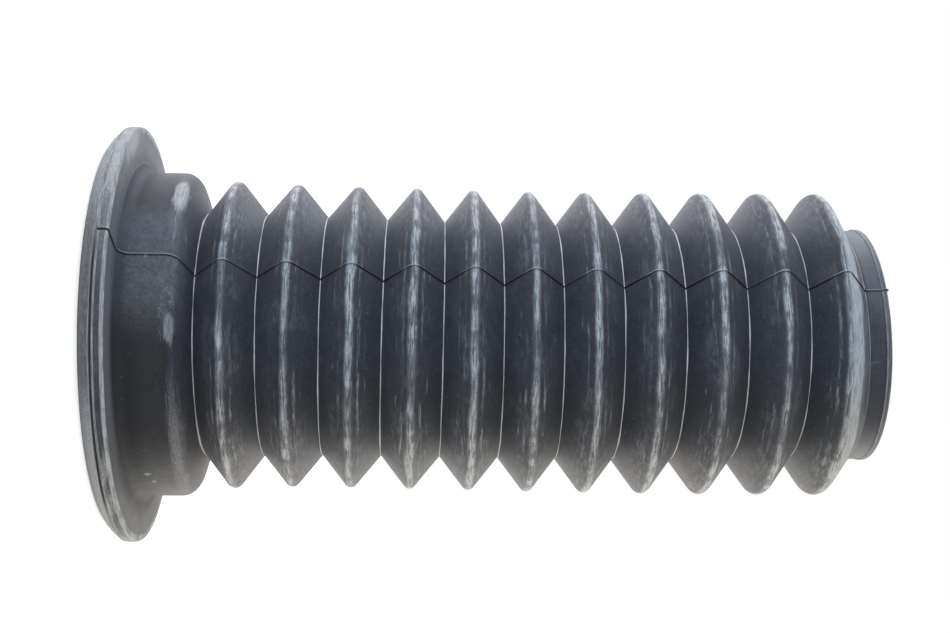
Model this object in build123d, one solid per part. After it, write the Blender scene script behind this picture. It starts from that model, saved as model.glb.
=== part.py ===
from build123d import *
import math
import os

# Rubber bellows boot for a suspension strut, moulded in one piece. It stands on its flange: +Z is the
# boot's axis, and the origin is the centre of the flange's seat. Every size is in millimetres.

# Flange: a thick flat ring, clamped between the spring seat and the strut's top mount.
flange_radius = 54.3
flange_thickness = 6.6
face_edge_chamfer = 0.5

# Below its groove the rim is bevelled back to the seat in two steps.
seat_radius = 50.1
bevel_break_radius = 52.4
bevel_break_height = 1.6

# A fine groove runs round the rim where the mould's seat plate met its two halves.
rim_groove_height = 3.9
rim_groove_width = 0.5
rim_groove_depth = 0.35

# Upper collar: the plain tube between the flange and the folds.
collar_radius = 42.4
collar_wall = 3.2
collar_height = 20.2
collar_root_round = 3.2
shoulder_round = 3.6
seat_mouth_chamfer = 1.0

# Folds: eleven V convolutions with rounded crests outside and creases for valleys.
fold_count = 11
fold_pitch = 15.2
fold_start = 23.7
crest_radius = 40.0
crest_round = 1.7
first_valley_radius = 31.8
fold_wall = 2.2
inner_ridge_width = 1.4
last_flank_trim = 0.3

# End collar: the short sleeve that grips the strut's tube, with a bead round its mouth.
end_collar_radius = 30.5
end_collar_bore = 27.5
end_collar_length = 5.6
bead_radius = 30.8
bead_width = 1.2
bead_chamfer = 0.3
mouth_chamfer = 0.5

# A round is this many flats, which keeps a boot with so many rounds light.
round_flats = 3

# Worked out from the sizes above.
half_pitch = fold_pitch / 2
collar_bore = collar_radius - collar_wall
fold_end = fold_start + fold_count * fold_pitch - last_flank_trim
total_height = fold_end + end_collar_length


def flats(centre_radius, centre_height, size, first, last):
    """Corners of the flats that stand in for an arc between two angles, 0 pointing straight outwards."""
    corners = []
    for step in range(round_flats + 1):
        turn = first + (last - first) * step / round_flats
        corners.append((centre_radius + size * math.cos(turn), centre_height + size * math.sin(turn)))
    return corners


def valley_radius(index):
    """Radius of an outer valley: the valleys close in slightly, and the last is level with the end collar."""
    taper = (first_valley_radius - end_collar_radius) / fold_count
    return first_valley_radius - taper * index


def flank_angle(index):
    """Angle from the axis of a fold's flanks, which run straight from the valley on to the crest's round."""
    rise = crest_radius - crest_round - valley_radius(index + 0.5)
    return math.atan2(rise, half_pitch) + math.asin(crest_round / math.hypot(half_pitch, rise))


def rim():
    """The flange's rim, from the seat over both bevels and the groove to the upper face."""
    return [
        (seat_radius, 0),
        (bevel_break_radius, bevel_break_height),
        (flange_radius, rim_groove_height - rim_groove_width / 2),
        (flange_radius - rim_groove_depth, rim_groove_height),
        (flange_radius, rim_groove_height + rim_groove_width / 2),
        (flange_radius, flange_thickness - face_edge_chamfer),
        (flange_radius - face_edge_chamfer, flange_thickness),
    ]


def upper_collar():
    """The collar's outside, from the hollow round at its root to the shoulder above it."""
    root_centre = (collar_radius + collar_root_round, flange_thickness + collar_root_round)
    shoulder_turn = math.atan2(collar_radius - first_valley_radius, fold_start - collar_height)
    shoulder_setback = shoulder_round * math.tan(shoulder_turn / 2)
    shoulder_centre = (collar_radius - shoulder_round, collar_height - shoulder_setback)
    root = flats(*root_centre, collar_root_round, -math.pi / 2, -math.pi)
    return root + flats(*shoulder_centre, shoulder_round, 0, shoulder_turn)


def outer_fold(index):
    """A valley and the rounded crest above it."""
    valley_height = fold_start + index * fold_pitch
    angle = flank_angle(index)
    crest = flats(crest_radius - crest_round, valley_height + half_pitch, crest_round, -angle, angle)
    return [(valley_radius(index), valley_height)] + crest


def inner_fold(index):
    """The inside of the same fold, from its crest down to its ridge, an even wall behind both flanks."""
    angle = flank_angle(index)
    radial_wall = fold_wall / math.cos(angle)
    valley_height = fold_start + index * fold_pitch
    groove = valley_radius(index + 0.5) + half_pitch * math.tan(angle) - radial_wall
    ridge = valley_radius(index) - radial_wall + inner_ridge_width / 2 * math.tan(angle)
    return [
        (groove, valley_height + half_pitch),
        (ridge, valley_height + inner_ridge_width / 2),
        (ridge, valley_height - inner_ridge_width / 2),
    ]


def end_collar():
    """The sleeve above the last valley, over the bead and down its bore to the last fold."""
    return [
        (end_collar_radius, fold_end),
        (end_collar_radius, total_height - bead_width - bead_chamfer),
        (bead_radius, total_height - bead_width),
        (bead_radius, total_height - bead_chamfer),
        (bead_radius - bead_chamfer, total_height),
        (end_collar_bore + mouth_chamfer, total_height),
        (end_collar_bore, total_height - mouth_chamfer),
        (end_collar_bore, fold_end - inner_ridge_width / 2),
    ]


def seat_mouth():
    """The upper collar's bore, from the last of the folds down to the chamfer at the seat."""
    return [
        (collar_bore, collar_height - collar_wall / 2),
        (collar_bore, seat_mouth_chamfer),
        (collar_bore + seat_mouth_chamfer, 0),
    ]


# The section's corners, once round from the seat's outer edge to its mouth, as (radius, height).
section = rim() + upper_collar()
for index in range(fold_count):
    section += outer_fold(index)
section += end_collar()
for index in reversed(range(fold_count)):
    section += inner_fold(index)
section += seat_mouth()

with BuildPart() as boot:
    with BuildSketch(Plane.XZ):
        with BuildLine():
            Polyline(*section, close=True)
        make_face()
    revolve(axis=Axis.Z)

boot.part.label = "bellows_boot"
os.makedirs("parts", exist_ok=True)
export_step(boot.part, "parts/bellows_boot.step")
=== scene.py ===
import math
import bmesh
import bpy
from mathutils import Matrix, Vector


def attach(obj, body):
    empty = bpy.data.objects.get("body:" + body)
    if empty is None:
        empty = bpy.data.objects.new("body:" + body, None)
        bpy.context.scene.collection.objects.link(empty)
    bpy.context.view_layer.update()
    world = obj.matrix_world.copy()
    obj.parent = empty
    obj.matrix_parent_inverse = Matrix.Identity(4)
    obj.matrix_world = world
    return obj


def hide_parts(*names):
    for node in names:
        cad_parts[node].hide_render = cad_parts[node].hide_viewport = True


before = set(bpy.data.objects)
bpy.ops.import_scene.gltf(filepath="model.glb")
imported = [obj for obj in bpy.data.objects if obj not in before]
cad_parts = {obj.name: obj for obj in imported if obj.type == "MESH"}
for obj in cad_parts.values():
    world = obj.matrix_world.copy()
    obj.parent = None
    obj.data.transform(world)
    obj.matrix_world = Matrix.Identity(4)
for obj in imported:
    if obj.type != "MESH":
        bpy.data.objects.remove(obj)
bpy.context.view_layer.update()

# Flange of the boot: the thick ring that is clamped between the spring seat and the strut's top mount.
# The whole boot is one moulding of black rubber, so the same wall is drawn on, ring by ring, to the far
# mouth. The rim carries the fine groove where the mould's seat plate met its two halves.
flange_radius = 0.0543
flange_thickness = 0.0066
seat_radius = 0.0501
bevel_break_radius = 0.0524
bevel_break_height = 0.0016
rim_groove_height = 0.0039
rim_groove_width = 0.0005
rim_groove_depth = 0.00035
columns_around = 240
parting_turn = math.radians(26.85)
parting_cuts = 3
same_place = 1e-6

bpy.ops.object.select_all(action="DESELECT")
bpy.ops.mesh.primitive_circle_add(
    vertices=columns_around, radius=seat_radius, location=(0, 0, 0), rotation=(0, 0, -parting_turn)
)
boot = bpy.context.object
boot.name = "rubber_boot"
boot.data.name = "rubber_boot"
bpy.ops.object.transform_apply(location=True, rotation=True, scale=True)
bpy.ops.object.mode_set(mode="EDIT")
bpy.ops.mesh.select_mode(type="VERT")


def turn_from_parting(place):
    """Angle round the axis from the nearer of the two parting lines, in radians."""
    turn = math.atan2(-place.x, -place.y) - parting_turn
    return turn - math.pi * round(turn / math.pi)


def pick(test):
    """Selects the boot's points that pass the test, and the edges and faces between them."""
    mesh = bmesh.from_edit_mesh(boot.data)
    mesh.normal_update()
    for point in mesh.verts:
        point.select = test(point)
    mesh.select_flush_mode()
    bmesh.update_edit_mesh(boot.data)


# The columns beside the parting lines are split, so that they can carry a fine ridge.
column_turn = math.tau / columns_around
pick(lambda point: abs(turn_from_parting(point.co)) < 1.1 * column_turn)
bpy.ops.mesh.subdivide(number_cuts=parting_cuts)
bpy.ops.mesh.select_all(action="SELECT")

edge_radius = seat_radius
edge_height = 0.0


def draw_wall(radius, height):
    """Draws the wall's open edge on to the next corner of the boot's section."""
    global edge_radius, edge_height
    bpy.ops.mesh.extrude_region_move(TRANSFORM_OT_translate={"value": (0, 0, height - edge_height)})
    stretch = radius / edge_radius
    bpy.ops.transform.resize(value=(stretch, stretch, 1), center_override=(0, 0, height))
    edge_radius = radius
    edge_height = height


draw_wall(bevel_break_radius, bevel_break_height)
draw_wall(flange_radius, rim_groove_height - rim_groove_width / 2)
draw_wall(flange_radius - rim_groove_depth, rim_groove_height)
draw_wall(flange_radius, rim_groove_height + rim_groove_width / 2)
draw_wall(flange_radius, flange_thickness)

# Upper collar of the boot: the plain tube between the flange and the folds, in the same rubber. It turns
# over a soft shoulder into the first valley.
collar_radius = 0.0424
collar_height = 0.0202
collar_root_round = 0.0032
shoulder_round = 0.0036
collar_wall = 0.0032

draw_wall(collar_radius, flange_thickness)
draw_wall(collar_radius, collar_height)

# Folds of the boot: eleven V convolutions that let it follow the strut's stroke, moulded with rounded
# crests and sharp creases for valleys. Each fold is drawn to a sharp crest, which is rounded later.
fold_count = 11
fold_pitch = 0.0152
fold_start = 0.0237
half_pitch = fold_pitch / 2
crest_radius = 0.040
crest_round = 0.0017
first_valley_radius = 0.0318
end_collar_radius = 0.0305
last_flank_trim = 0.0003
fold_end = fold_start + fold_count * fold_pitch - last_flank_trim


def valley_radius(fold):
    """Radius of an outer valley, which is a little smaller towards the end collar."""
    return first_valley_radius - (first_valley_radius - end_collar_radius) * fold / fold_count


def flank_angle(fold):
    """Angle from the axis of a fold's straight flanks."""
    rise = crest_radius - crest_round - valley_radius(fold + 0.5)
    return math.atan2(rise, half_pitch) + math.asin(crest_round / math.hypot(rise, half_pitch))


def sharp_crest_radius(fold):
    """Radius where a fold's two flanks would meet if its crest weren't rounded."""
    return crest_radius - crest_round + crest_round / math.cos(flank_angle(fold))


for fold in range(fold_count):
    draw_wall(valley_radius(fold), fold_start + fold * fold_pitch)
    draw_wall(sharp_crest_radius(fold), fold_start + (fold + 0.5) * fold_pitch)
draw_wall(end_collar_radius, fold_end)

# End collar of the boot: the short sleeve that is pushed over the strut's tube and grips it, with a bead
# round its mouth, again in the same rubber.
end_collar_bore = 0.0275
end_collar_length = 0.0056
bead_radius = 0.0308
bead_width = 0.0012
bead_round = 0.0003
mouth_chamfer = 0.0005
total_height = fold_end + end_collar_length

draw_wall(end_collar_radius, total_height - bead_width - bead_round)
draw_wall(bead_radius, total_height - bead_width)
draw_wall(bead_radius, total_height)
draw_wall(end_collar_bore, total_height)

# Inside of the boot: the core of the mould follows the folds at an even wall, with a narrow land on each
# ridge, down to the bore of the upper collar. The seat then closes the wall to the ring that it began with,
# and the corners get their rounds.
fold_wall = 0.0022
ridge_width = 0.0014
seat_mouth_chamfer = 0.001
collar_bore = collar_radius - collar_wall

draw_wall(end_collar_bore, fold_end - ridge_width / 2)
for fold in reversed(range(fold_count)):
    radial_wall = fold_wall / math.cos(flank_angle(fold))
    valley_height = fold_start + fold * fold_pitch
    groove_radius = valley_radius(fold + 0.5) + half_pitch * math.tan(flank_angle(fold)) - radial_wall
    ridge_radius = valley_radius(fold) - radial_wall + ridge_width / 2 * math.tan(flank_angle(fold))
    draw_wall(groove_radius, valley_height + half_pitch)
    draw_wall(ridge_radius, valley_height + ridge_width / 2)
    draw_wall(ridge_radius, valley_height - ridge_width / 2)
draw_wall(collar_bore, collar_height - collar_wall / 2)
draw_wall(collar_bore, 0)

pick(lambda point: point.co.z < same_place)
bpy.ops.mesh.bridge_edge_loops()
bpy.ops.mesh.select_all(action="SELECT")
bpy.ops.mesh.remove_doubles(threshold=same_place)
bpy.ops.mesh.normals_make_consistent(inside=False)

near_radius = 5e-5
near_height = 1e-5


def round_ring(radius, height, size, steps):
    """Rounds the wall's corner at one radius and height, or chamfers it where there is one step."""
    pick(
        lambda point: abs(point.co.xy.length - radius) < near_radius
        and abs(point.co.z - height) < near_height
    )
    bpy.ops.mesh.bevel(offset=size, offset_type="OFFSET", segments=steps, profile=0.5, affect="EDGES")


def setback(size, turn):
    """How far from a corner a round of this radius begins, when the wall turns by this angle."""
    return size * math.tan(turn / 2)


seat_edge_round = 0.0006
bevel_round = 0.0006
lip_round = 0.00015
face_edge_round = 0.0007
valley_round = 0.0002
full_round_steps = 8
edge_round_steps = 3
fine_round_steps = 2
chamfer_steps = 1
shoulder_turn = math.pi / 2 - math.atan2(fold_start - collar_height, collar_radius - first_valley_radius)
round_ring(seat_radius, 0, seat_edge_round, edge_round_steps)
round_ring(bevel_break_radius, bevel_break_height, bevel_round, edge_round_steps)
round_ring(flange_radius, rim_groove_height - rim_groove_width / 2, lip_round, fine_round_steps)
round_ring(flange_radius, rim_groove_height + rim_groove_width / 2, lip_round, fine_round_steps)
round_ring(flange_radius, flange_thickness, face_edge_round, edge_round_steps)
round_ring(collar_radius, flange_thickness, collar_root_round, full_round_steps)
round_ring(collar_radius, collar_height, setback(shoulder_round, shoulder_turn), full_round_steps)
round_ring(bead_radius, total_height, bead_round, fine_round_steps)
round_ring(end_collar_bore, total_height, mouth_chamfer, chamfer_steps)
round_ring(collar_bore, 0, seat_mouth_chamfer, chamfer_steps)
round_ring(end_collar_radius, fold_end, valley_round, fine_round_steps)
for fold in range(fold_count):
    crest_setback = setback(crest_round, 2 * flank_angle(fold))
    crest_height = fold_start + (fold + 0.5) * fold_pitch
    round_ring(valley_radius(fold), fold_start + fold * fold_pitch, valley_round, fine_round_steps)
    round_ring(sharp_crest_radius(fold), crest_height, crest_setback, full_round_steps)

# Parting ridges of the boot: the thin flash that the rubber leaves where the mould's two halves met, down
# both sides from the rim's groove to the far mouth, with a shallow furrow along one side of it. A nub of
# it stands on the edge of the mouth at the front.
ridge_height = 0.0002
furrow_depth = 0.00012
nub_height = 0.00035
nub_length = 0.0007
ridge_foot = rim_groove_height + rim_groove_width / 2
parting_step = column_turn / (parting_cuts + 1)
smooth_below = math.radians(30)
inside_below = -0.2


def outside(point):
    """True unless the surface turns towards the axis, so the seat and the mouth's end count as outside."""
    outwards = Vector((point.co.x, point.co.y, 0)).normalized()
    return point.normal.dot(outwards) > inside_below


def pick_parting_column(step):
    """Selects the outer column that lies this many narrow columns from each parting line."""
    pick(
        lambda point: outside(point)
        and ridge_foot - near_height < point.co.z < total_height - near_height
        and abs(turn_from_parting(point.co) - step * parting_step) < 0.1 * parting_step
    )


pick_parting_column(0)
bpy.ops.transform.shrink_fatten(value=ridge_height)
pick_parting_column(-1)
bpy.ops.transform.shrink_fatten(value=-furrow_depth)
pick(
    lambda point: outside(point)
    and point.co.y < 0
    and point.co.z > total_height - nub_length
    and abs(turn_from_parting(point.co) + parting_step / 2) < parting_step
)
bpy.ops.transform.shrink_fatten(value=nub_height)
bpy.ops.mesh.select_all(action="DESELECT")
bpy.ops.object.mode_set(mode="OBJECT")
bpy.ops.object.shade_smooth_by_angle(angle=smooth_below)

# Set of the boot: soft rubber never rests quite straight. The folds lean a little to one side, close in
# slightly at mid length and sit at an uneven pitch, and the end collar is tipped. Each point keeps the
# place that it left the mould with, so that the wear follows the folds.
lean = 0.00163
lean_start = 0.0206
lean_end = 0.1379
fold_tilt = 0.0215
tilt_start = -0.3
tilt_end = 6.3
waist = 0.011
waist_end = 9.0
first_crest_swell = 0.010
drift = 0.00036
drift_start = 1.55
drift_wave = 7.39
tip_sideways = 0.0296
last_crest_height = fold_start + (fold_count - 0.5) * fold_pitch

moulded = boot.data.attributes.new("moulded_place", "FLOAT_VECTOR", "POINT")
for point in boot.data.vertices:
    moulded.data[point.index].vector = point.co
outer_side = boot.data.attributes.new("outer_side", "FLOAT", "POINT")
for point in boot.data.vertices:
    outer_side.data[point.index].value = 1.0 if outside(point) else 0.0


def share(value, start, end):
    """How far a value has come from start to end, between 0 and 1."""
    return min(max((value - start) / (end - start), 0), 1)


def settled(place):
    """Where a point of the straight moulding comes to rest."""
    fold = (place.z - fold_start) / fold_pitch
    rise = share(place.z, lean_start, lean_end)
    sideways = lean * rise * rise * (3 - 2 * rise)
    tilt = fold_tilt * math.sin(math.pi * share(fold, tilt_start, tilt_end)) ** 2
    tip = tip_sideways * share(place.z, last_crest_height, fold_end)
    narrowed = 1 - waist * math.sin(math.pi * share(fold, 0, waist_end))
    narrowed += first_crest_swell * math.sin(math.pi * share(fold, 0, 1))
    loose = min(share(fold, 0, 1), share(fold, fold_count, fold_count - 1))
    shift = drift * loose * math.sin(math.tau * (fold - drift_start) / drift_wave)
    return Vector((
        place.x * narrowed + sideways + tip * (total_height - place.z),
        place.y * narrowed,
        place.z + shift - place.x * (tilt - tip),
    ))


for point in boot.data.vertices:
    point.co = settled(point.co)

# Finish of the boot: black rubber with a fine matt grain, greyed by the bloom that works out of the
# compound and by rubbing against other goods. The crests and edges carry most of it, each valley carries
# a thin line, and the inside none.
# Painted light among these colours: the rubber's colour on the right and the warm bloom stand for warm
# light, the warm dust is partly dust and partly warm light, the furrow's colour is a painted shadow and
# black is painted shade.
rubber_colour = (0.0375, 0.0455, 0.0660, 1)
warm_lit_rubber_colour = (0.0350, 0.0375, 0.0440, 1)
cool_bloom_colour = (0.45, 0.53, 0.62, 1)
neutral_bloom_colour = (0.53, 0.54, 0.55, 1)
warm_lit_bloom_colour = (0.65, 0.64, 0.615, 1)
warm_dust_and_light_colour = (0.185, 0.165, 0.140, 1)
pale_crease_colour = (0.80, 0.82, 0.84, 1)
furrow_shadow_colour = (0.006, 0.006, 0.007, 1)
painted_shade_black = (0, 0, 0, 1)
mm = 1000

rubber = bpy.data.materials.new("black_rubber")
rubber.use_nodes = True
rubber_nodes = rubber.node_tree.nodes
rubber_shader = rubber_nodes["Principled BSDF"]
boot.data.materials.append(rubber)


def feed(socket, value):
    """Links another node's output to a socket, or sets the socket to a plain value."""
    if isinstance(value, bpy.types.NodeSocket):
        rubber.node_tree.links.new(value, socket)
    else:
        socket.default_value = value


def work_out(operation, *values):
    """Result of a Math node."""
    node = rubber_nodes.new("ShaderNodeMath")
    node.operation = operation
    for socket, value in zip(node.inputs, values):
        feed(socket, value)
    return node.outputs[0]


def chained(operation, values):
    """Result of one Math operation taken over several values."""
    result = values[0]
    for value in values[1:]:
        result = work_out(operation, result, value)
    return result


def times(*values):
    """Product of the values."""
    return chained("MULTIPLY", values)


def plus(*values):
    """Sum of the values."""
    return chained("ADD", values)


def most(*values):
    """The largest of the values."""
    return chained("MAXIMUM", values)


def minus(value, less):
    """Difference of two values."""
    return work_out("SUBTRACT", value, less)


def fade(value, start, end):
    """Rises smoothly from 0 at start to 1 at end, or falls where end is the smaller."""
    node = rubber_nodes.new("ShaderNodeMapRange")
    node.interpolation_type = "SMOOTHSTEP"
    feed(node.inputs["Value"], value)
    feed(node.inputs["From Min"], start)
    feed(node.inputs["From Max"], end)
    return node.outputs[0]


def line(value, middle, half_width, softness=0.12):
    """A soft-edged line where the value is within half a width of the middle."""
    return fade(work_out("ABSOLUTE", minus(value, middle)), half_width + softness, half_width)


def vector(x, y, z):
    """A place made from its three parts."""
    node = rubber_nodes.new("ShaderNodeCombineXYZ")
    for socket, value in zip(node.inputs, (x, y, z)):
        feed(socket, value)
    return node.outputs[0]


def noise(place, detail=2.0, roughness=0.5, fineness=1.0):
    """Soft noise between 0 and 1, which is about 0.5 on average."""
    node = rubber_nodes.new("ShaderNodeTexNoise")
    feed(node.inputs["Vector"], place)
    node.inputs["Scale"].default_value = fineness
    node.inputs["Detail"].default_value = detail
    node.inputs["Roughness"].default_value = roughness
    return node.outputs[0]


def tinted(factor, first, second):
    """Mix of two colours."""
    node = rubber_nodes.new("ShaderNodeMix")
    node.data_type = "RGBA"
    feed(node.inputs[0], factor)
    feed(node.inputs[6], first)
    feed(node.inputs[7], second)
    return node.outputs[2]


def times_colour(colour, amount):
    """A colour made darker or lighter."""
    node = rubber_nodes.new("ShaderNodeVectorMath")
    node.operation = "SCALE"
    feed(node.inputs[0], colour)
    node.inputs["Scale"].default_value = amount
    return node.outputs[0]


# Where a point is on the boot: its place, height and radius in millimetres, and its turn round the axis,
# which is 0 at the front and grows towards the left. The rest of the finish goes by these.
moulded_place = rubber_nodes.new("ShaderNodeAttribute")
moulded_place.attribute_name = "moulded_place"
side = rubber_nodes.new("ShaderNodeAttribute")
side.attribute_name = "outer_side"
on_outside = side.outputs["Fac"]
millimetres = rubber_nodes.new("ShaderNodeVectorMath")
millimetres.operation = "SCALE"
feed(millimetres.inputs[0], moulded_place.outputs["Vector"])
millimetres.inputs["Scale"].default_value = mm
place_mm = millimetres.outputs[0]
axes = rubber_nodes.new("ShaderNodeSeparateXYZ")
feed(axes.inputs[0], place_mm)
along_x = axes.outputs["X"]
along_y = axes.outputs["Y"]
height = axes.outputs["Z"]
radius = work_out("SQRT", plus(times(along_x, along_x), times(along_y, along_y)))
towards_x = work_out("DIVIDE", along_x, radius)
towards_y = work_out("DIVIDE", along_y, radius)
turn = work_out("ARCTAN2", minus(0, along_x), minus(0, along_y))


def around(ring_cells, upwards):
    """A place for noise that is drawn out round the boot, without a seam."""
    return vector(times(towards_x, ring_cells), times(towards_y, ring_cells), upwards)


pitch_mm = fold_pitch * mm
fold_start_mm = fold_start * mm
fold_end_mm = fold_end * mm
fold_place = work_out("DIVIDE", minus(height, fold_start_mm), pitch_mm)
fold_number = work_out("FLOOR", fold_place)
from_crest = times(minus(minus(fold_place, fold_number), 0.5), pitch_mm)
past_shoulder = fade(height, fold_start_mm - 0.6, fold_start_mm - 0.4)
on_folds = times(past_shoulder, fade(height, fold_end_mm + 0.18, fold_end_mm + 0.05))
left_side = fade(towards_x, -0.55, -0.95)
right_side = fade(towards_x, 0.50, 0.95)

# Patterns that several marks share: the grain, and fine and broad streaks round the boot. The last three
# change slowly round each fold, in how wide its marks are, how worn it is and where the marks wander.
grain = noise(place_mm, detail=3.0, roughness=0.6, fineness=1.6)
grit = noise(place_mm, detail=2.0, roughness=0.7, fineness=3.4)
clouding = noise(place_mm, detail=3.0, roughness=0.55, fineness=0.09)
mottling = noise(place_mm, detail=4.0, roughness=0.6, fineness=0.42)
fine_streaks = noise(around(9.0, times(height, 2.6)), detail=4.0, roughness=0.7)
broad_streaks = noise(around(4.0, times(height, 0.9)), detail=3.0, roughness=0.6)
fibres = fade(plus(times(0.86, fine_streaks), times(0.14, grit)), 0.42, 0.58)
width_change = noise(around(2.4, times(fold_number, 5.3)), detail=3.0)
wear_change = noise(around(2.8, plus(times(fold_number, 3.7), 40.0)), detail=3.0)
place_change = noise(around(4.5, plus(times(fold_number, 4.1), 80.0)), detail=3.0)

# Crests: a band of bloom that wanders, changes width and breaks up round each one, with fibrous edges.
crest_wander = times(minus(place_change, 0.5), 1.4)
crest_width = plus(0.25, times(width_change, 1.35))
ragged = plus(times(minus(fine_streaks, 0.5), 2.8), times(minus(grit, 0.5), 1.2))
crest_edge = plus(minus(work_out("ABSOLUTE", minus(from_crest, crest_wander)), crest_width), ragged)
crest_patches = times(0.46, fade(wear_change, 0.30, 0.56))
crest_strength = plus(0.22, crest_patches, times(0.34, left_side), times(0.54, right_side))
crest_pits = plus(0.92, times(0.12, fade(grit, 0.36, 0.60)))
crest_fibres = plus(0.34, times(0.98, fibres))
crest_gaps = noise(around(7.5, plus(times(fold_number, 6.1), 120.0)), detail=2.0)
ragged_gaps = plus(times(0.62, crest_gaps), times(0.38, fine_streaks))
crest_breaks = plus(0.50, times(0.66, fade(ragged_gaps, 0.40, 0.55)))
crest_band = times(fade(crest_edge, 0.30, -0.35), crest_strength, crest_pits, crest_fibres, crest_breaks)

# Thin rubbed lines run beside the crests, and a haze of fine scratches spreads from them to both sides.
line_breaks = fade(plus(times(0.6, broad_streaks), times(0.4, fine_streaks)), 0.40, 0.56)
line_sides = plus(0.60, times(0.40, fade(towards_x, 0.05, 0.40)))
line_below = line(from_crest, plus(-2.35, times(0.5, crest_wander)), 0.12, 0.32)
line_above = line(from_crest, plus(2.30, times(0.4, crest_wander)), 0.14, 0.32)
far_line_below = line(from_crest, plus(-3.60, crest_wander), 0.08, 0.20)
far_line_above = line(from_crest, plus(3.70, crest_wander), 0.08, 0.20)
rubbed_lines = most(
    times(0.46, line_below, fade(width_change, 0.40, 0.56)),
    times(0.46, line_above, fade(wear_change, 0.40, 0.56)),
    times(0.26, far_line_below, fade(place_change, 0.52, 0.40)),
    times(0.26, far_line_above, fade(place_change, 0.50, 0.64)),
)
rubbed_lines = times(rubbed_lines, plus(0.15, times(1.1, fibres)), line_breaks, line_sides)
haze_spread = fade(work_out("ABSOLUTE", from_crest), 6.8, 0.6)
haze_sides = plus(0.02, times(0.24, left_side), times(0.36, right_side))
haze_patches = plus(haze_sides, times(0.16, fade(clouding, 0.50, 0.62)))
haze_streaks = fade(plus(times(0.7, fine_streaks), times(0.3, mottling)), 0.44, 0.62)
crest_haze = times(haze_spread, haze_patches, haze_streaks)

# Valleys: a thin light line all the way round each crease, and a fainter one where the folds meet the end
# collar.
valley_wander = times(minus(noise(around(3.0, times(fold_number, 2.9)), detail=2.0), 0.5), 0.4)
from_valley = times(minus(fold_place, work_out("ROUND", fold_place)), pitch_mm)
from_last_valley = minus(height, fold_end_mm)
last_valley_strength = plus(0.22, times(0.34, fade(towards_x, 0.20, -0.50)))
last_valley_line = times(last_valley_strength, line(from_last_valley, 0, 0.04, 0.14))
valley_strength = plus(0.72, times(0.40, fade(place_change, 0.32, 0.60)), times(0.30, right_side))
valley_line = times(most(line(from_valley, valley_wander, 0.03, 0.13), last_valley_line), valley_strength)

fold_bloom = times(on_folds, most(crest_band, rubbed_lines, crest_haze, valley_line))

# The last flank is bloomed all over, most of all beside its crest.
past_last_crest = minus(height, last_crest_height * mm)
last_edge = plus(past_last_crest, times(3.0, minus(broad_streaks, 0.5)))
last_band = times(fade(past_last_crest, -0.6, 0.8), fade(last_edge, 5.4, 4.0))
last_band_strength = plus(0.58, times(0.58, fibres))
last_flank = times(fade(past_last_crest, 0.0, 0.8), fade(from_last_valley, 0.0, -0.6))
last_flank_sides = times(0.22, most(left_side, right_side))
last_flank_haze = plus(0.05, last_flank_sides, times(0.12, fade(broad_streaks, 0.42, 0.62)))
last_bloom = most(times(last_band, last_band_strength), times(last_flank, last_flank_haze))

# Rim of the flange: rubbed edges, a mottled bevel, worn lengths between the groove and the face, and dust
# that fills the groove on both sides of the boot.
face_mm = flange_thickness * mm
groove_mm = rim_groove_height * mm
bevel_break_mm = bevel_break_height * mm
on_rim = times(fade(radius, 49.6, 50.0), fade(height, face_mm + 0.15, face_mm + 0.05))
rim_mottle = fade(plus(times(0.6, fine_streaks), times(0.4, mottling)), 0.42, 0.58)
rim_left = fade(towards_x, -0.40, -0.80)
rim_right = fade(towards_x, 0.15, 0.55)
rim_grain = plus(0.62, times(0.88, fade(grit, 0.40, 0.60)))
groove_filled = most(fade(towards_x, -0.30, -0.55), fade(towards_x, 0.70, 0.90))
rim_lines = most(
    times(0.45, line(height, bevel_break_mm, 0.05)),
    times(0.60, line(height, groove_mm - 0.52, 0.16)),
    times(0.62, line(height, groove_mm + 0.56, 0.20)),
    times(0.85, line(height, groove_mm, 0.28), groove_filled),
)
rim_lines = times(rim_lines, plus(0.5, times(0.7, fibres)))
bevel_wear = plus(0.20, times(0.22, rim_mottle), times(0.62, rim_left), times(0.90, rim_right))
strip_left = fade(towards_x, -0.15, -0.50)
spared = times(0.60, fade(towards_x, 0.80, 0.84), fade(towards_x, 0.95, 0.91))
strip_right = times(fade(towards_x, 0.42, 0.66), minus(1.0, spared))
worn_lengths = noise(around(5.0, times(height, 0.25)), detail=3.0, roughness=0.6)
worn = fade(plus(times(0.70, worn_lengths), times(0.30, fine_streaks)), 0.36, 0.58)
strip_lengths = times(0.66, most(rim_left, strip_right), worn)
strip_wear = plus(times(0.05, rim_mottle), times(0.22, strip_left), strip_lengths)
rim_field = most(
    times(fade(height, 0.10, 0.45), fade(height, 1.75, 1.45), bevel_wear),
    times(line(height, 2.55, 0.85, 0.2), bevel_wear, 0.90),
    times(line(height, 5.2, 0.8, 0.3), strip_wear),
)
rim_bloom = times(on_rim, most(rim_lines, times(rim_field, rim_grain)))

# Upper face of the flange: a rubbed outer margin, and a haze that is strongest on the left, where it is
# partly a painted reflection.
below_face = fade(height, face_mm + 0.2, face_mm + 0.1)
at_face = times(fade(height, face_mm - 0.25, face_mm - 0.1), below_face)
on_face = times(at_face, fade(radius, 43.0, 44.5))
margin_reach = plus(radius, times(1.4, minus(broad_streaks, 0.5)))
near_face = times(fade(height, face_mm - 0.75, face_mm - 0.45), below_face)
face_margin = times(near_face, fade(margin_reach, 52.0, 53.0), plus(0.48, times(0.50, fibres)))
left_face_haze_and_reflection = times(left_side, plus(0.60, times(0.40, fade(mottling, 0.40, 0.60))))
face_haze_and_reflection = times(on_face, plus(0.045, times(0.06, fade(radius, 46.0, 48.5)), times(0.24, left_face_haze_and_reflection)))


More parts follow.
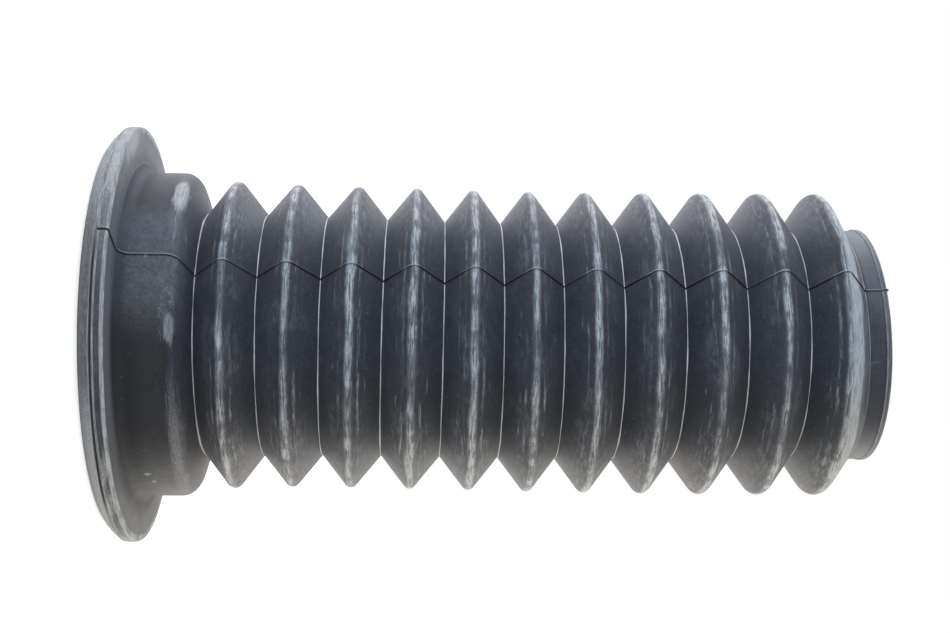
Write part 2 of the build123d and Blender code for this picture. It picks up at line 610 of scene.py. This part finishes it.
def stroke(start, end, half_width):
    """A thin straight mark between two places in plan, in millimetres."""
    course = Vector(end) - Vector(start)
    length = course.length
    course.normalize()
    east = minus(along_x, start[0])
    north = minus(along_y, start[1])
    forward = plus(times(east, course.x), times(north, course.y))
    across = minus(times(east, course.y), times(north, course.x))
    lengthways = times(fade(forward, -0.4, 0.2), fade(forward, length + 0.4, length - 0.2))
    return times(line(across, 0, half_width, 0.2), lengthways)


# Light marks on the face, where a stiff edge has pressed against it.
face_marks = most(
    times(0.20, stroke((43.3, -23.4), (47.7, -18.0), 0.10)),
    times(0.20, stroke((47.7, -18.0), (46.5, -8.4), 0.12)),
    times(0.15, stroke((46.5, -8.4), (45.1, 1.2), 0.08)),
    times(0.30, stroke((-42.1, -15.7), (-44.5, -6.0), 0.10)),
)
face_marks = times(face_marks, at_face, fade(radius, 42.0, 43.5))
flange_bloom = most(rim_bloom, face_margin, face_haze_and_reflection, face_marks)

# Upper collar: an even grey haze with fine specks, and smears on its shoulder.
below_folds = fade(height, fold_start_mm - 0.6, fold_start_mm - 3.0)
on_collar = times(fade(height, 8.0, 10.0), below_folds, fade(radius, 47.0, 45.0))
haze_turn = times(
    fade(turn, math.radians(-4), math.radians(18)),
    fade(turn, math.radians(54), math.radians(38)),
)
collar_mottle = plus(0.55, times(0.50, fade(grain, 0.40, 0.65)), times(0.28, fade(mottling, 0.42, 0.6)))
collar_sides = plus(0.004, times(0.115, haze_turn), times(0.10, right_side))
collar_haze = times(on_collar, collar_mottle, collar_sides)


def smear(turn_degrees, turn_reach, middle, reach, edge=0.35, measure=height):
    """A patch of bloom, by its turn and its height or radius, and how far it reaches each way."""
    sideways = work_out("DIVIDE", minus(turn, math.radians(turn_degrees)), math.radians(turn_reach))
    upwards = work_out("DIVIDE", minus(measure, middle), reach)
    away = work_out("SQRT", plus(times(sideways, sideways), times(upwards, upwards)))
    return fade(plus(away, times(1.6, minus(fine_streaks, 0.5))), 1.0, 1.0 - edge)


# Smears and dabs, in turn on the shoulder, the collar's wall, the folds and the face.
speckle = fade(plus(times(0.6, grit), times(0.4, mottling)), 0.50, 0.60)
smears = most(
    times(0.95, smear(57, 13, 19.3, 1.9), plus(0.55, times(0.45, fibres))),
    times(0.30, smear(40, 12, 19.6, 0.8), fibres),
    times(0.26, smear(38, 7, 21.6, 0.4), fibres),
    times(0.55, smear(2, 6, 19.6, 1.3), plus(0.6, times(0.4, fibres))),
    times(0.34, smear(8, 11, 18.9, 2.3), speckle),
    times(0.30, smear(20, 8, 20.3, 0.8), speckle),
    times(0.16, smear(-40, 34, 20.0, 2.4, 0.9)),
    times(0.56, smear(-40, 32, 20.0, 2.1, 0.8), fade(grit, 0.44, 0.66)),
    times(0.45, smear(-63, 7, 20.6, 1.1, 0.8), plus(0.4, times(0.6, fibres))),
    times(0.60, smear(-55.0, 0.9, 11.9, 0.9)),
    times(0.60, smear(-60.4, 1.1, 12.9, 0.6)),
    times(0.45, smear(26.2, 0.8, 13.4, 0.5)),
    times(0.75, smear(36, 9, 61.4, 2.0, 0.8), plus(0.3, times(0.7, fibres))),
    times(0.55, smear(41, 8, 46.6, 2.4, 0.8), speckle),
    times(0.93, on_face, smear(68, 15, 52.2, 5.6, 0.8, measure=radius)),
)

# End collar: rubbed bright at both edges of its bead, with a faint haze on the left.
total_mm = total_height * mm
bead_mm = total_mm - bead_width * mm
on_bead = fade(radius, 29.6, 30.0)
bead_lines = most(
    times(0.56, line(height, bead_mm, 0.12)),
    times(0.42, line(height, total_mm - 0.15, 0.16)),
    times(0.18, fade(height, bead_mm - 0.2, bead_mm)),
)
bead_lines = times(bead_lines, on_bead, plus(0.6, times(0.5, fibres)))
below_bead = fade(height, bead_mm + 0.1, bead_mm - 0.1)
on_end_collar = times(fade(height, fold_end_mm + 0.3, fold_end_mm + 0.9), below_bead)
end_haze = times(0.13, on_end_collar, fade(towards_x, -0.10, -0.60), plus(0.6, times(0.8, mottling)))

# Light scratches and specks lie here and there all over.
scratch_place = vector(times(0.55, along_x), times(0.55, along_y), times(0.22, height))
scratches = times(0.13, fade(noise(scratch_place, detail=3.0, roughness=0.7), 0.665, 0.71))
specks = times(0.11, fade(noise(place_mm, detail=1.0, fineness=1.1), 0.72, 0.78))

# Parting line: a painted shadow along its furrow, and a light line along its ridge on both collars and near
# the crests, where the shadow fades. The light line is partly rubbed wear and partly a painted highlight.
quarter_turn = math.pi / 2
from_parting = times(radius, work_out("WRAP", minus(turn, parting_turn), quarter_turn, -quarter_turn))
above_groove = fade(height, groove_mm, groove_mm + 0.3)
crest_top = times(on_folds, fade(work_out("ABSOLUTE", from_crest), 1.8, 1.0))
near_crest = times(on_folds, fade(work_out("ABSOLUTE", plus(from_crest, 0.9)), 3.0, 1.2))
below_shoulder = fade(height, fold_start_mm - 1.5, fold_start_mm - 3.5)
past_folds = fade(height, fold_end_mm + 0.2, fold_end_mm + 0.6)
proud = most(below_shoulder, times(0.9, near_crest), past_folds)
ridge_wear_and_highlight = plus(0.08, times(0.50, proud), times(0.35, crest_top))
parting_wear_and_highlight = times(line(from_parting, 0.14, 0.08, 0.14), above_groove, ridge_wear_and_highlight)
furrow_shadow_change = plus(0.30, times(0.70, fade(wear_change, 0.35, 0.5)))
furrow_shadow_lost = most(times(0.50, crest_top), times(0.62, near_crest), times(0.50, past_folds))
furrow_shadow_strength = times(furrow_shadow_change, minus(0.92, furrow_shadow_lost))
painted_furrow_shadow = times(line(from_parting, -0.22, 0.19, 0.20), above_groove, furrow_shadow_strength)

# All the light marks together make the bloom, with the painted highlight along the parting ridge among
# them.
collar_marks = most(collar_haze, smears, bead_lines, end_haze)
marks = most(fold_bloom, last_bloom, flange_bloom, collar_marks, scratches, specks, parting_wear_and_highlight)
bloom_and_ridge_highlight = work_out("MINIMUM", times(on_outside, marks), 1.0)

# Colour: cool black rubber, turning neutral and browner towards the right, which is partly dust and partly
# painted warm light, with painted shade on the upper collar, and with the bloom, the pale creases and the
# painted shadow in the furrow laid over it in turn.
# Painted warm light: the rubber turns from cool to neutral towards the right.
warm_lit_side = fade(plus(towards_x, times(0.5, minus(clouding, 0.5))), 0.0, 0.60)
plain_colour = tinted(warm_lit_side, rubber_colour, warm_lit_rubber_colour)
shade = fade(plus(times(0.4, grain), times(0.3, clouding), times(0.3, mottling)), 0.38, 0.62)
grained = tinted(shade, times_colour(plain_colour, 0.78), times_colour(plain_colour, 1.22))
# Painted shade: the upper collar's wall and the round at its root are darkened towards black, least on the
# left.
collar_shade_area = times(fade(radius, 47.8, 43.8), fade(height, 20.6, 19.0), fade(height, 6.3, 6.5))
painted_collar_shade = minus(0.68, most(times(0.72, haze_turn), times(0.36, left_side)))
grained = tinted(times(collar_shade_area, painted_collar_shade, on_outside), grained, painted_shade_black)
# Browner towards the right: partly warm dust and partly painted warm light.
dust_and_warm_light = times(fade(towards_x, 0.66, 0.98), on_outside, plus(0.24, times(0.30, fade(clouding, 0.4, 0.6))))
dusted_and_warm_lit = tinted(dust_and_warm_light, grained, warm_dust_and_light_colour)
neutral_bloom = most(warm_lit_side, left_side, times(0.6, on_rim))
bloom_colour = tinted(neutral_bloom, cool_bloom_colour, neutral_bloom_colour)
# Painted warm light makes the bloom warmer towards the right.
bloom_colour = tinted(fade(towards_x, 0.40, 0.85), bloom_colour, warm_lit_bloom_colour)
crease_strength = plus(0.42, times(0.42, fade(wear_change, 0.36, 0.56)))
pale_crease = times(on_folds, valley_line, on_outside, crease_strength)
bloomed = tinted(pale_crease, tinted(bloom_and_ridge_highlight, dusted_and_warm_lit, bloom_colour), pale_crease_colour)
finished_colour = tinted(times(on_outside, painted_furrow_shadow), bloomed, furrow_shadow_colour)
feed(rubber_shader.inputs["Base Color"], finished_colour)

# Gloss: satin, duller where it is bloomed and in the corner between the flange and the collar.
corner = times(fade(radius, 50.0, 44.5), fade(height, 14.0, 8.0))
uneven = times(0.10, minus(grain, 0.5))
dullness = plus(0.46, times(0.35, bloom_and_ridge_highlight), times(0.16, corner), uneven)
feed(rubber_shader.inputs["Roughness"], dullness)
rubber_shader.inputs["Specular IOR Level"].default_value = 0.28
rubber_shader.inputs["Sheen Weight"].default_value = 0.12
rubber_shader.inputs["Sheen Roughness"].default_value = 0.45

# Relief: the fine grain, and streaks where the crests are rubbed.
relief_depth = 0.00001
relief = rubber_nodes.new("ShaderNodeBump")
relief.inputs["Distance"].default_value = relief_depth
relief.inputs["Strength"].default_value = 1.0
rubbed_edge = fade(work_out("ABSOLUTE", from_crest), 3.0, 1.0)
rubbed_streaks = times(3.5, fine_streaks, rubbed_edge)
feed(relief.inputs["Height"], plus(times(1.2, grain), times(3.0, mottling), rubbed_streaks))
feed(rubber_shader.inputs["Normal"], relief.outputs[0])

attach(boot, "root")
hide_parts("bellows_boot")

# Floor under the boot: a plain white table top. It glows a little for the camera and for reflections, so
# that it shows white and still takes a faint shadow. It lies a hair below the seat, because two surfaces
# in one plane would show through each other.
table_colour = (0.85, 0.85, 0.85, 1)
table_width = 6
table_dullness = 0.9
table_glow = 0.66
table_gap = 0.00002

bpy.ops.object.select_all(action="DESELECT")
bpy.ops.mesh.primitive_plane_add(size=table_width, location=(0, 0, -table_gap))
floor = bpy.context.object
floor.name = "floor"
table_top = bpy.data.materials.new("table_top")
table_top.use_nodes = True
table_nodes = table_top.node_tree.nodes
table_links = table_top.node_tree.links
table_shader = table_nodes["Principled BSDF"]
table_shader.inputs["Base Color"].default_value = table_colour
table_shader.inputs["Roughness"].default_value = table_dullness
table_shader.inputs["Emission Color"].default_value = (1, 1, 1, 1)


def seen_directly(tree):
    """1 for the rays that show a background: the camera's, reflected ones and those through glass."""
    rays = tree.nodes.new("ShaderNodeLightPath")
    total = rays.outputs["Is Camera Ray"]
    for kind in ("Is Glossy Ray", "Is Transmission Ray"):
        add = tree.nodes.new("ShaderNodeMath")
        add.operation = "ADD"
        add.use_clamp = True
        tree.links.new(total, add.inputs[0])
        tree.links.new(rays.outputs[kind], add.inputs[1])
        total = add.outputs[0]
    return total


table_part = table_nodes.new("ShaderNodeMath")
table_part.operation = "MULTIPLY"
table_part.inputs[1].default_value = table_glow
table_links.new(seen_directly(table_top.node_tree), table_part.inputs[0])
table_links.new(table_part.outputs[0], table_shader.inputs["Emission Strength"])
floor.data.materials.append(table_top)

# Studio: an even surround that shows as plain white, and three large soft lamps. A cool one on the left
# and a neutral one on the right stand a little behind the boot and bring out its folds, and the third
# fills in from the front, left of the camera.
surround_light = 0.50
lamp_size = 0.9
boot_middle = Vector((0, 0, total_height / 2))
cool_lamp_place = Vector((-0.88, 0.38, 0.24))
cool_lamp_colour = (0.82, 0.88, 1.0)
cool_lamp_power = 8.8
neutral_lamp_place = Vector((0.85, 0.45, 0.30))
neutral_lamp_colour = (1.0, 0.98, 0.94)
neutral_lamp_power = 4.8
front_lamp_place = Vector((-0.66, -0.88, 0.08))
front_lamp_colour = (1.0, 1.0, 1.0)
front_lamp_power = 5.4

world = bpy.data.worlds.new("studio")
bpy.context.scene.world = world
world.use_nodes = True
world_nodes = world.node_tree.nodes
world_links = world.node_tree.links
world_light = world_nodes["Background"]
world_light.inputs["Color"].default_value = (1, 1, 1, 1)
world_light.inputs["Strength"].default_value = surround_light
backdrop = world_nodes.new("ShaderNodeBackground")
backdrop.inputs["Color"].default_value = (1, 1, 1, 1)
backdrop.inputs["Strength"].default_value = 1
world_mix = world_nodes.new("ShaderNodeMixShader")
world_links.new(seen_directly(world.node_tree), world_mix.inputs[0])
world_links.new(world_light.outputs[0], world_mix.inputs[1])
world_links.new(backdrop.outputs[0], world_mix.inputs[2])
world_links.new(world_mix.outputs[0], world_nodes["World Output"].inputs["Surface"])


def soft_lamp(name, place, colour, power):
    """Hangs a large square lamp that faces the boot's middle."""
    lamp_data = bpy.data.lights.new(name, "AREA")
    lamp_data.size = lamp_size
    lamp_data.color = colour
    lamp_data.energy = power
    lamp = bpy.data.objects.new(name, lamp_data)
    lamp.visible_camera = False
    bpy.context.collection.objects.link(lamp)
    facing = (boot_middle - place).to_track_quat("-Z", "Y").to_matrix().to_4x4()
    lamp.matrix_world = Matrix.Translation(place) @ facing


soft_lamp("cool_lamp", cool_lamp_place, cool_lamp_colour, cool_lamp_power)
soft_lamp("neutral_lamp", neutral_lamp_place, neutral_lamp_colour, neutral_lamp_power)
soft_lamp("front_lamp", front_lamp_place, front_lamp_colour, front_lamp_power)

# Camera beside the upright boot, rolled a quarter turn, so that the boot lies across the picture with its
# flange on the left.
camera_place = Vector((0, -0.3948, 0.0797))
camera_aim = Vector((-0.0052, 0, 0.0936))
camera_roll = math.radians(90.39)
camera_data = bpy.data.cameras.new("camera")
camera_data.sensor_width = 36
camera_data.lens = 56.23
camera = bpy.data.objects.new("camera", camera_data)
bpy.context.collection.objects.link(camera)
look = (camera_aim - camera_place).to_track_quat("-Z", "Y").to_matrix()
look = look @ Matrix.Rotation(camera_roll, 3, "Z")
camera.matrix_world = Matrix.Translation(camera_place) @ look.to_4x4()
bpy.context.scene.camera = camera
bpy.context.scene.view_settings.view_transform = "Standard"
